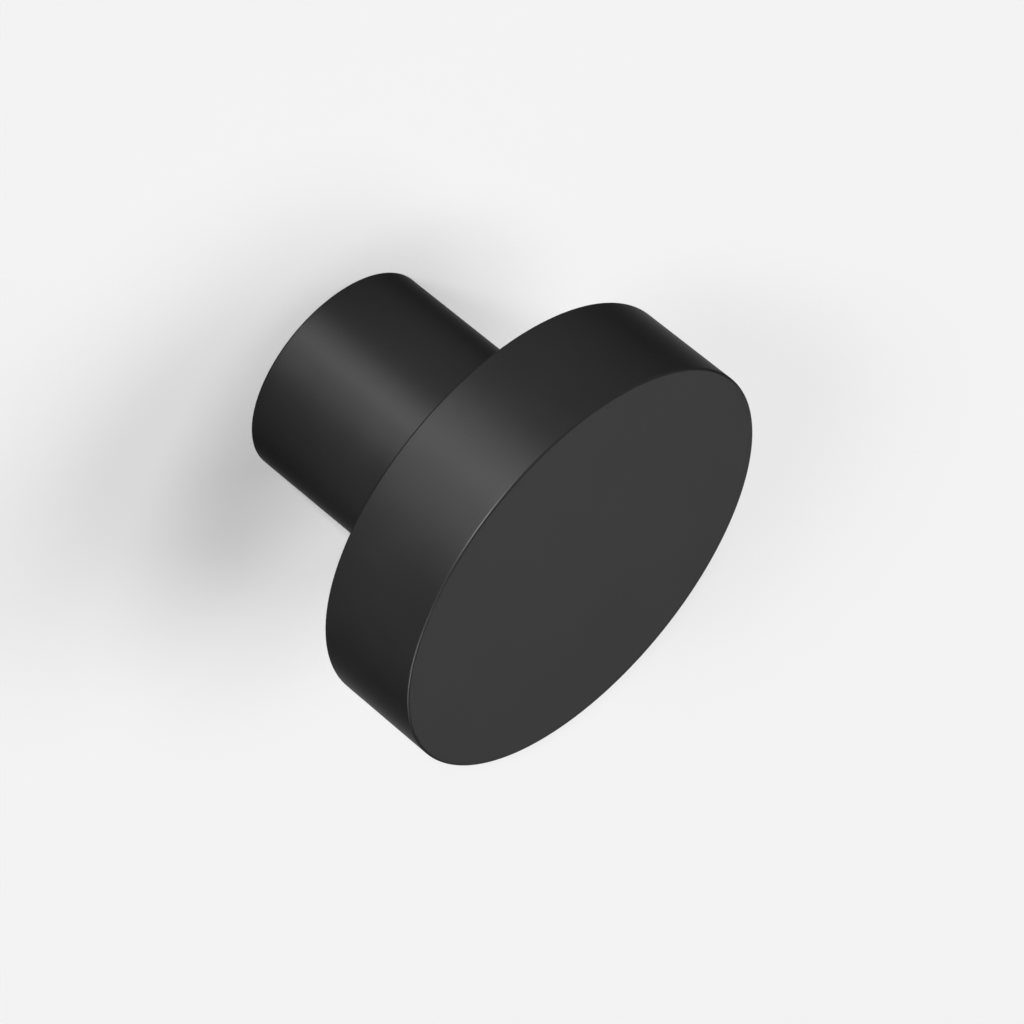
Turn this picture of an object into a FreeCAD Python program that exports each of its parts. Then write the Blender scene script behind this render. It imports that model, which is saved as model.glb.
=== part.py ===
import FreeCAD, Part
import math
import os

# Cabinet knob: a flat round head on a plain round stem, turned from one bar of metal.
#
# Millimetres. The frame is the knob's own, as it sits on an upright door: +Z up, +X to the right of
# someone facing the door, and the knob's axis along Y. The origin is the centre of the mounting
# face, where the screw comes through, and the knob stands out from the door towards -Y.
#
# Every outside form is one profile turned about the axis, the way a lathe makes it: the flat
# mounting face, the straight stem, the tool radius in the corner under the head, the flat back of
# the head that the fingers pull on, the rim and the flat front. Each sharp corner is broken by a
# small radius. A blind hole, drilled and tapped from the mounting face, takes the screw. It is
# bored here at the size of the tapping drill, with a countersunk mouth and a drill point's cone.

# Outside of the knob
HEAD_DIAMETER = 32.0
HEAD_THICKNESS = 8.0
STEM_DIAMETER = 16.0
PROJECTION = 24.0            # from the door to the front of the head

# Corners of the turned profile
FRONT_EDGE_RADIUS = 0.15     # between the front and the rim
BACK_EDGE_RADIUS = 0.15      # between the rim and the back of the head
NECK_RADIUS = 0.4            # inside corner where the stem meets the head
BASE_EDGE_RADIUS = 0.15      # around the mounting face

# Hole for an M4 machine screw
THREAD_DIAMETER = 4.0
THREAD_PITCH = 0.7
THREAD_LENGTH = 12.0         # tapped length, from the mounting face
TAP_RUNOUT = 2.0             # drilled further than it is tapped
MOUTH_EXTRA = 0.4            # countersink diameter over the thread's
MOUTH_ANGLE = 90.0           # included angle of the countersink
DRILL_POINT_ANGLE = 118.0    # included angle of the cone at the bottom

HEAD_RADIUS = HEAD_DIAMETER / 2
STEM_RADIUS = STEM_DIAMETER / 2
STEM_LENGTH = PROJECTION - HEAD_THICKNESS
FULL_TURN = 360.0

ORIGIN = FreeCAD.Vector(0, 0, 0)
TURNING_AXIS = FreeCAD.Vector(0, 1, 0)


def at(radius, height):
    """The point of a profile at a radius from the axis and a height above the mounting face."""
    return FreeCAD.Vector(radius, -height, 0)


def line(start, end):
    return Part.LineSegment(start, end).toShape()


def rounded_corner(corner, start, end):
    """A quarter circle from start to end, bulging towards the sharp corner that it replaces."""
    centre = start + end - corner
    middle = centre + (corner - centre).normalize() * (start - centre).Length
    return Part.Arc(start, middle, end).toShape()


def turned(edges):
    """The solid that a closed profile sweeps in one full turn about the knob's axis."""
    face = Part.Face(Part.Wire(edges))
    return Part.Solid(face.revolve(ORIGIN, TURNING_AXIS, FULL_TURN))


def knob_blank():
    """The outside of the knob, from the middle of the mounting face to the middle of the front."""
    base_in = at(STEM_RADIUS - BASE_EDGE_RADIUS, 0)
    base_out = at(STEM_RADIUS, BASE_EDGE_RADIUS)
    neck_in = at(STEM_RADIUS, STEM_LENGTH - NECK_RADIUS)
    neck_out = at(STEM_RADIUS + NECK_RADIUS, STEM_LENGTH)
    back_in = at(HEAD_RADIUS - BACK_EDGE_RADIUS, STEM_LENGTH)
    back_out = at(HEAD_RADIUS, STEM_LENGTH + BACK_EDGE_RADIUS)
    front_out = at(HEAD_RADIUS, PROJECTION - FRONT_EDGE_RADIUS)
    front_in = at(HEAD_RADIUS - FRONT_EDGE_RADIUS, PROJECTION)
    # The neck is an inside corner, so its arc is centred outside the metal.
    return turned([
        line(at(0, 0), base_in),
        rounded_corner(at(STEM_RADIUS, 0), base_in, base_out),
        line(base_out, neck_in),
        rounded_corner(at(STEM_RADIUS, STEM_LENGTH), neck_in, neck_out),
        line(neck_out, back_in),
        rounded_corner(at(HEAD_RADIUS, STEM_LENGTH), back_in, back_out),
        line(back_out, front_out),
        rounded_corner(at(HEAD_RADIUS, PROJECTION), front_out, front_in),
        line(front_in, at(0, PROJECTION)),
        line(at(0, PROJECTION), at(0, 0)),
    ])


def screw_hole():
    """What the drill and the countersink take away, from the mounting face inwards."""
    drill_radius = (THREAD_DIAMETER - THREAD_PITCH) / 2
    mouth_radius = (THREAD_DIAMETER + MOUTH_EXTRA) / 2
    mouth_depth = (mouth_radius - drill_radius) / math.tan(math.radians(MOUTH_ANGLE / 2))
    drill_depth = THREAD_LENGTH + TAP_RUNOUT
    point_depth = drill_radius / math.tan(math.radians(DRILL_POINT_ANGLE / 2))
    corners = [
        at(0, 0),
        at(mouth_radius, 0),
        at(drill_radius, mouth_depth),
        at(drill_radius, drill_depth),
        at(0, drill_depth + point_depth),
    ]
    return turned([line(a, b) for a, b in zip(corners, corners[1:] + corners[:1])])


def main():
    os.makedirs("parts", exist_ok=True)
    knob = knob_blank().cut(screw_hole())
    knob.exportStep("parts/knob.step")
    box = knob.optimalBoundingBox()
    print(f"knob: valid {knob.isValid()}, solids {len(knob.Solids)}, {knob.Volume:.0f} mm3")
    print(f"{box.XLength:.2f} x {box.YLength:.2f} x {box.ZLength:.2f} mm")


main()
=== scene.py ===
import math

import bpy
import numpy as np
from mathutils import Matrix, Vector


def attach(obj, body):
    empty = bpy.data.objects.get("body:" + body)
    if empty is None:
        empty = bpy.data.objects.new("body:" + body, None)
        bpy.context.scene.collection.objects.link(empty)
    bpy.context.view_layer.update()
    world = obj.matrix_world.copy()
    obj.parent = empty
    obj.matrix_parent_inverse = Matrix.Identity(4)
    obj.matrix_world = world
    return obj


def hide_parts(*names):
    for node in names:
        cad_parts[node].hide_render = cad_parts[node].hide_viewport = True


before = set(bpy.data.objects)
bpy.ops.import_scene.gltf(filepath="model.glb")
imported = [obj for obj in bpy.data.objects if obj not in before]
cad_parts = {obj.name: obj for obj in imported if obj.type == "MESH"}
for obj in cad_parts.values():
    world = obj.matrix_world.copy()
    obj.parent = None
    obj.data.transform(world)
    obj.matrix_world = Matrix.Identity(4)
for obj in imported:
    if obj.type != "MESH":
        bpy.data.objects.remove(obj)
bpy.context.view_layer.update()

# A satin black cabinet knob on a pale door. The frame is in metres: +Z up, +X to the right of someone
# facing the door, and the knob's axis along Y. The door's face is the plane y = 0, and the knob
# stands out from it towards -Y. Sizes in the dictionaries are millimetres.

mm = 0.001
print("frame loaded:", sorted(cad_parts))


# colours, nodes and meshes

def linearColour(hexColour):
    # the sRGB curve undone: a straight line near black, a power of 2.4 above it
    channels = [int(hexColour[start:start + 2], 16) / 255 for start in (1, 3, 5)]
    linear = [c / 12.92 if c <= 0.04045 else ((c + 0.055) / 1.055) ** 2.4 for c in channels]
    return (*linear, 1.0)


def addNode(tree, kind, settings=None, inputs=None):
    # one node: its properties, then each input either linked from a socket or set to a value
    node = tree.nodes.new(kind)
    for name, value in (settings or {}).items():
        setattr(node, name, value)
    for name, value in (inputs or {}).items():
        if isinstance(value, bpy.types.NodeSocket):
            tree.links.new(value, node.inputs[name])
        else:
            node.inputs[name].default_value = value
    return node


def newMaterial(name):
    material = bpy.data.materials.new(name)
    material.use_nodes = True
    material.node_tree.nodes.clear()
    return material, material.node_tree


def newPiece(name, points, faces):
    # points as an (n, 3) array in millimetres, faces as lists of point numbers
    mesh = bpy.data.meshes.new(name)
    mesh.from_pydata((points * mm).tolist(), [], faces)
    mesh.update()
    piece = bpy.data.objects.new(name, mesh)
    bpy.context.scene.collection.objects.link(piece)
    return piece


def aroundAxis(columns):
    # angles of the columns, evenly spaced over a full turn
    return np.linspace(0, 2 * math.pi, columns, endpoint=False)


def turnedPoints(radius, height, theta):
    # a surface of revolution about Y: radius cos theta to the right, radius sin theta up, and the
    # height out from the door
    radius, height, theta = np.broadcast_arrays(radius, height, theta)
    return np.stack([radius * np.cos(theta), -height, radius * np.sin(theta)], -1).reshape(-1, 3)


def ringFaces(rings, columns):
    # quads between neighbouring rings, the last column joined to the first
    ring, column = np.meshgrid(np.arange(rings - 1), np.arange(columns), indexing="ij")
    following = (column + 1) % columns
    here, beyond = ring * columns, (ring + 1) * columns
    quads = np.stack([here + column, here + following, beyond + following, beyond + column], -1)
    return quads.reshape(-1, 4)


# the knob: one turned piece of metal with a tapped blind hole

knob = {
    "headDiameter": 32.0,
    "headThickness": 8.0,
    "stemDiameter": 16.0,
    "projection": 24.0,      # door to front
    "edgeRadius": 0.15,      # front, back of the head, mounting face
    "neckRadius": 0.4,       # inside corner under the head
    "threadDiameter": 4.0,   # M4 x 0.7
    "threadPitch": 0.7,
    "threadAngle": 60.0,     # degrees between the groove's two flanks
    "rootFlat": 1 / 8,       # width of the groove's root, as a share of the pitch
    "threadLength": 12.0,
    "tapLead": 1.5,          # the last grooves run out over this length
    "drillDepth": 14.0,
    "drillPoint": 118.0,     # degrees
    "mouthDiameter": 4.4,
    "columns": 192,          # around the axis
    "arcSteps": 10,          # per rounded edge
    "rowsPerPitch": 16,
}


def arcPoints(centre, radius, startAngle, endAngle, steps):
    # a circle's points in the (radius, height) plane, angles in degrees from the outward direction
    angle = np.radians(np.linspace(startAngle, endAngle, steps + 1))
    return np.stack([centre[0] + radius * np.cos(angle), centre[1] + radius * np.sin(angle)], -1)


def outsideProfile(k):
    # (radius, height) from the hole's mouth over the mounting face, the stem and the head to the flat
    # of the front; flat stretches get a support point just before and after each rounded edge
    mouth, stem, head = k["mouthDiameter"] / 2, k["stemDiameter"] / 2, k["headDiameter"] / 2
    edge, neck, steps = k["edgeRadius"], k["neckRadius"], k["arcSteps"]
    top = k["projection"]
    under = top - k["headThickness"]
    hold = edge / 2
    return np.concatenate([
        [[mouth, 0], [mouth + hold, 0], [stem - edge - hold, 0]],
        arcPoints((stem - edge, edge), edge, -90, 0, steps),
        [[stem, edge + hold], [stem, under - neck - hold]],
        arcPoints((stem + neck, under - neck), neck, 180, 90, steps),
        [[stem + neck + hold, under], [head - edge - hold, under]],
        arcPoints((head - edge, under + edge), edge, -90, 0, steps),
        [[head, under + edge + hold], [head, top - edge - hold]],
        arcPoints((head - edge, top - edge), edge, 0, 90, steps),
        [[head - edge - hold, top]],
    ])


def holeSurface(k, theta):
    # radius over (depth, angle): a helical groove with straight flanks and a flat root, cut into the
    # tapping drill's bore, fading out over the tap's lead, and all of it opened by the 45 degree
    # mouth. The groove's root lies where depth over pitch less the turn is a whole number
    pitch, length = k["threadPitch"], k["threadLength"]
    drill, major = (k["threadDiameter"] - pitch) / 2, k["threadDiameter"] / 2
    steepness = math.tan(math.radians(90 - k["threadAngle"] / 2))
    rows = int(round(length / pitch * k["rowsPerPitch"]))
    depth = np.linspace(0, length, rows + 1)[1:, None]
    turns = depth / pitch - theta / (2 * math.pi)
    fromRoot = np.abs(turns - np.round(turns)) * pitch
    flank = np.maximum(0, fromRoot - k["rootFlat"] * pitch / 2) * steepness
    left = np.clip((length - depth) / k["tapLead"], 0, 1)
    groove = drill + (major - drill) * left - flank
    mouth = k["mouthDiameter"] / 2 - depth
    return np.repeat(depth, len(theta), 1), np.maximum(np.maximum(drill, groove), mouth)


def buildKnob(k):
    # rings of the hole from the end of its bore out to the mouth, then the rings of the outside, with
    # a fan of triangles to the drill's tip at one end and to the middle of the front at the other
    columns = k["columns"]
    theta = aroundAxis(columns)
    drill = (k["threadDiameter"] - k["threadPitch"]) / 2
    tip = k["drillDepth"] + drill / math.tan(math.radians(k["drillPoint"] / 2))
    holeDepth, holeRadius = holeSurface(k, theta)
    profile = outsideProfile(k)
    height = np.concatenate([
        np.full((1, columns), k["drillDepth"]),
        holeDepth[::-1],
        np.repeat(profile[:, 1:], columns, 1),
    ])
    radius = np.concatenate([
        np.full((1, columns), drill),
        holeRadius[::-1],
        np.repeat(profile[:, :1], columns, 1),
    ])
    rings, holeRings = len(height), 1 + len(holeDepth)
    ends = [[0, -tip, 0], [0, -k["projection"], 0]]
    points = np.concatenate([turnedPoints(radius, height, theta), ends])
    tipNumber, middleNumber = rings * columns, rings * columns + 1
    first = np.arange(columns)
    following = (first + 1) % columns
    lastRing = (rings - 1) * columns
    sides = ringFaces(rings, columns)
    tipFan = np.stack([np.full(columns, tipNumber), following, first], -1)
    frontFan = np.stack([lastRing + first, lastRing + following, np.full(columns, middleNumber)], -1)
    piece = newPiece("turned_knob", points, sides.tolist() + tipFan.tolist() + frontFan.tolist())
    piece.data.shade_smooth()
    # the bore, the thread and the mouth take the second material, and so does the cone at the bottom
    slots = np.zeros(len(piece.data.polygons), int)
    slots[:holeRings * columns] = 1
    slots[len(sides):len(sides) + columns] = 1
    piece.data.polygons.foreach_set("material_index", slots)
    return piece


turnedKnob = buildKnob(knob)
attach(turnedKnob, "root")
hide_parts("knob")
print("knob built:", len(turnedKnob.data.polygons), "faces")


# black anodised aluminium: turned, finely blasted, and dyed in its oxide skin. It gives the eye an
# even, silky black with broad soft highlights that grow paler at a grazing angle. Close to, the dye is
# very slightly uneven and the blasting's grain shows. A fine grain is about 0.05 mm, less than a dot of
# the render, so it is drawn at a little over twice that

anodising = {
    "darker": "#2e2e2e",         # the dye's colour, where it is darkest and where it is palest
    "paler": "#303030",
    "edge": "#aaaaaa",           # tint at a grazing angle
    "smoother": 0.39,            # roughness, where the dye is darker and where it is paler
    "rougher": 0.41,
    "patch": 6.0,                # mm across one patch of dye
    "grain": 0.12,               # mm from pit to pit
    "pitDepth": 0.0006,          # mm
}

noiseLow, noiseHigh = 0.3, 0.7   # nearly all of a noise texture's output lies between these


def anodisedFinish(a):
    # one wide noise mixes the dye and the roughness, one fine noise is the height of the grain
    material, tree = newMaterial("black anodised aluminium")
    place = addNode(tree, "ShaderNodeTexCoord").outputs["Object"]
    patches = addNode(tree, "ShaderNodeTexNoise", None, {
        "Vector": place,
        "Scale": 1 / (a["patch"] * mm),
        "Detail": 2.0,
    })
    dye = addNode(tree, "ShaderNodeMapRange", None, {
        "Value": patches.outputs["Fac"],
        "From Min": noiseLow,
        "From Max": noiseHigh,
    })
    colour = addNode(tree, "ShaderNodeMix", {"data_type": "RGBA"}, {
        "Factor": dye.outputs["Result"],
        6: linearColour(a["darker"]),    # the two colour inputs go by number
        7: linearColour(a["paler"]),
    })
    roughness = addNode(tree, "ShaderNodeMapRange", None, {
        "Value": patches.outputs["Fac"],
        "From Min": noiseLow,
        "From Max": noiseHigh,
        "To Min": a["smoother"],
        "To Max": a["rougher"],
    })
    pits = addNode(tree, "ShaderNodeTexNoise", None, {
        "Vector": place,
        "Scale": 1 / (a["grain"] * mm),
        "Detail": 1.0,
    })
    relief = addNode(tree, "ShaderNodeBump", None, {
        "Distance": a["pitDepth"] * mm,
        "Height": pits.outputs["Fac"],
    })
    shader = addNode(tree, "ShaderNodeBsdfPrincipled", None, {
        "Base Color": colour.outputs[2],
        "Metallic": 1.0,
        "Specular Tint": linearColour(a["edge"]),
        "Roughness": roughness.outputs["Result"],
        "Normal": relief.outputs["Normal"],
    })
    addNode(tree, "ShaderNodeOutputMaterial", None, {"Surface": shader.outputs["BSDF"]})
    return material


# bare aluminium, cut by the drill, the countersink and the tap after the anodising. It gives the eye a
# bright grey with fine lines round the hole, where the edge of the tool went

tapping = {
    "colour": "#d8d9db",
    "smoother": 0.24,
    "rougher": 0.38,
    "line": 0.08,                # mm from one tool line to the next
    "lineDepth": 0.001,          # mm
    "stretch": 0.02,             # how little the lines change on their way round
}


def tappedFinish(t):
    # noise that changes fast along the axis and slowly round it, for the lines' height and roughness
    material, tree = newMaterial("tapped aluminium")
    place = addNode(tree, "ShaderNodeTexCoord").outputs["Object"]
    drawnOut = addNode(tree, "ShaderNodeMapping", None, {
        "Vector": place,
        "Scale": (t["stretch"], 1.0, t["stretch"]),
    })
    lines = addNode(tree, "ShaderNodeTexNoise", None, {
        "Vector": drawnOut.outputs["Vector"],
        "Scale": 1 / (t["line"] * mm),
        "Detail": 2.0,
    })
    roughness = addNode(tree, "ShaderNodeMapRange", None, {
        "Value": lines.outputs["Fac"],
        "From Min": noiseLow,
        "From Max": noiseHigh,
        "To Min": t["smoother"],
        "To Max": t["rougher"],
    })
    relief = addNode(tree, "ShaderNodeBump", None, {
        "Distance": t["lineDepth"] * mm,
        "Height": lines.outputs["Fac"],
    })
    shader = addNode(tree, "ShaderNodeBsdfPrincipled", None, {
        "Base Color": linearColour(t["colour"]),
        "Metallic": 1.0,
        "Roughness": roughness.outputs["Result"],
        "Normal": relief.outputs["Normal"],
    })
    addNode(tree, "ShaderNodeOutputMaterial", None, {"Surface": shader.outputs["BSDF"]})
    return material


turnedKnob.data.materials.append(anodisedFinish(anodising))
turnedKnob.data.materials.append(tappedFinish(tapping))
print("finishes made")


# the door's face behind the knob: matt pale paint, which gives the eye an even white with soft shadows

door = {
    "colour": "#f1f1f1",
    "reach": 3000.0,         # from the knob to the edge
    "opening": 7.8,          # radius left open behind the stem
    "rings": 24,
    "columns": 96,
}


def buildDoor(d):
    # a flat ring: the radius shrinks by the same factor from one ring to the next
    radius = np.geomspace(d["reach"], d["opening"], d["rings"])[:, None]
    points = turnedPoints(radius, 0.0, aroundAxis(d["columns"]))
    return newPiece("door_face", points, ringFaces(d["rings"], d["columns"]).tolist())


def paintedFinish(d):
    # paint in front and clear behind, so that a view from behind shows the knob's mounting face
    material, tree = newMaterial("pale door paint")
    paint = addNode(tree, "ShaderNodeBsdfDiffuse", None, {"Color": linearColour(d["colour"])})
    clear = addNode(tree, "ShaderNodeBsdfTransparent")
    oneSided = addNode(tree, "ShaderNodeMixShader", None, {
        0: addNode(tree, "ShaderNodeNewGeometry").outputs["Backfacing"],
        1: paint.outputs["BSDF"],
        2: clear.outputs["BSDF"],
    })
    addNode(tree, "ShaderNodeOutputMaterial", None, {"Surface": oneSided.outputs["Shader"]})
    return material


doorFace = buildDoor(door)
doorFace.data.materials.append(paintedFinish(door))
print("door made")


# camera

view = {
    "azimuth": -43.99,       # degrees, from facing the door towards the knob's left
    "elevation": 51.65,
    "distance": 353.8,
    "right": 3.56,           # the picture's middle lies this far right of and below the knob's
    "below": 2.91,
    "lens": 184.95,
    "sensor": 36.0,
    "nearest": 10.0,         # what the camera sees starts and ends here
    "farthest": 20000.0,
}


def addCamera(v):
    # it looks at a point beside the middle of the knob's axis, with its own right-hand side level
    azimuth, elevation = math.radians(v["azimuth"]), math.radians(v["elevation"])
    back = Vector((math.sin(azimuth) * math.cos(elevation), -math.cos(azimuth) * math.cos(elevation),
                   math.sin(elevation)))
    right = Vector((math.cos(azimuth), math.sin(azimuth), 0))
    up = back.cross(right)
    middle = Vector((0, -knob["projection"] / 2, 0))
    target = middle + right * v["right"] - up * v["below"]
    camera = bpy.data.objects.new("camera", bpy.data.cameras.new("camera"))
    camera.data.lens = v["lens"]
    camera.data.sensor_width = v["sensor"]
    camera.data.clip_start = v["nearest"] * mm
    camera.data.clip_end = v["farthest"] * mm
    camera.location = (target + back * v["distance"]) * mm
    camera.rotation_mode = "QUATERNION"
    camera.rotation_quaternion = (-back).to_track_quat("-Z", "Y")
    bpy.context.scene.collection.objects.link(camera)
    bpy.context.scene.camera = camera


addCamera(view)
print("camera set")


# light: soft lamps too far away to fade across the door, some for the door and some for the knob. The
# azimuth is about the knob's axis, from its right-hand side towards its top, the elevation is above
# the door's face and the width is what the knob sees of the lamp, all in degrees. A power of pi lights
# a white surface that faces the lamp to white

# the door's even tone and the soft shadows that the knob throws on it
doorLamps = {
    "doorKey": {"azimuth": 118, "elevation": 26, "width": 5, "power": 3.23},
    "doorLeft": {"azimuth": 130, "elevation": 20, "width": 9, "power": 0.90},
    "doorRight": {"azimuth": -13, "elevation": 60, "width": 37, "power": 0.68},
    "doorTop": {"azimuth": 93, "elevation": 63, "width": 34, "power": 0.83},
    "doorLow": {"azimuth": -19, "elevation": 10, "width": 35, "power": 0.81},
}

# a key for the upper left, three lamps from behind the door's plane for the streak along the stem and
# the rim, two on the lower left for the fine bright line round the front, and one that the front
# mirrors
knobLamps = {
    "key": {"azimuth": 130, "elevation": 6, "width": 13, "power": 3.67},
    "topStreak": {"azimuth": 98, "elevation": -22, "width": 13, "power": 0.26},
    "streak": {"azimuth": 114, "elevation": -22, "width": 13, "power": 0.51},
    "leftStreak": {"azimuth": 138, "elevation": -8, "width": 13, "power": 0.61},
    "sideLeft": {"azimuth": -140, "elevation": 20, "width": 18, "power": 1.47},
    "lowerLeft": {"azimuth": -155, "elevation": 38, "width": 18, "power": 0.96},
    "lowerRight": {"azimuth": -60, "elevation": 28, "width": 18, "power": 0.51},
}

backdropColour = "#f3f3f3"   # what the camera and polished surfaces see beyond the door


def addLamp(name, numbers, lit, shades):
    # it lights only what is in the first collection, and only what is in the second throws a shadow
    azimuth, elevation = math.radians(numbers["azimuth"]), math.radians(numbers["elevation"])
    away = Vector((math.cos(azimuth) * math.cos(elevation), -math.sin(elevation),
                   math.sin(azimuth) * math.cos(elevation)))
    lamp = bpy.data.objects.new(name, bpy.data.lights.new(name, "SUN"))
    lamp.data.angle = math.radians(numbers["width"])
    lamp.data.energy = numbers["power"]
    lamp.rotation_mode = "QUATERNION"
    lamp.rotation_quaternion = away.to_track_quat("Z", "Y")
    lamp.light_linking.receiver_collection = lit
    lamp.light_linking.blocker_collection = shades
    # a bounced ray that the door stops would lose part of the light, so only shadow rays carry it
    lamp.data.cycles.use_multiple_importance_sampling = False
    bpy.context.scene.collection.objects.link(lamp)


def onlyOne(name, piece):
    collection = bpy.data.collections.new(name)
    collection.objects.link(piece)
    return collection


def addBackdrop(hexColour):
    # the world: its colour for the camera and for clear and polished surfaces, and no light on the rest
    world = bpy.data.worlds.new("studio")
    world.use_nodes = True
    tree = world.node_tree
    tree.nodes.clear()
    rays = addNode(tree, "ShaderNodeLightPath").outputs
    direct = addNode(tree, "ShaderNodeMath", {"operation": "ADD"}, {
        0: rays["Is Camera Ray"],
        1: rays["Is Glossy Ray"],
    })
    seen = addNode(tree, "ShaderNodeMath", {"operation": "ADD", "use_clamp": True}, {
        0: direct.outputs["Value"],
        1: rays["Is Transmission Ray"],
    })
    backdrop = addNode(tree, "ShaderNodeBackground", None, {
        "Color": linearColour(hexColour),
        "Strength": seen.outputs["Value"],
    })
    addNode(tree, "ShaderNodeOutputWorld", None, {"Surface": backdrop.outputs["Background"]})
    bpy.context.scene.world = world


justKnob = onlyOne("just the knob", turnedKnob)
justDoor = onlyOne("just the door", doorFace)
for name, numbers in doorLamps.items():
    addLamp(name, numbers, justDoor, justKnob)
for name, numbers in knobLamps.items():
    addLamp(name, numbers, justKnob, justKnob)
addBackdrop(backdropColour)
bpy.context.scene.view_settings.view_transform = "Standard"
print("light set:", len(doorLamps) + len(knobLamps), "lamps")
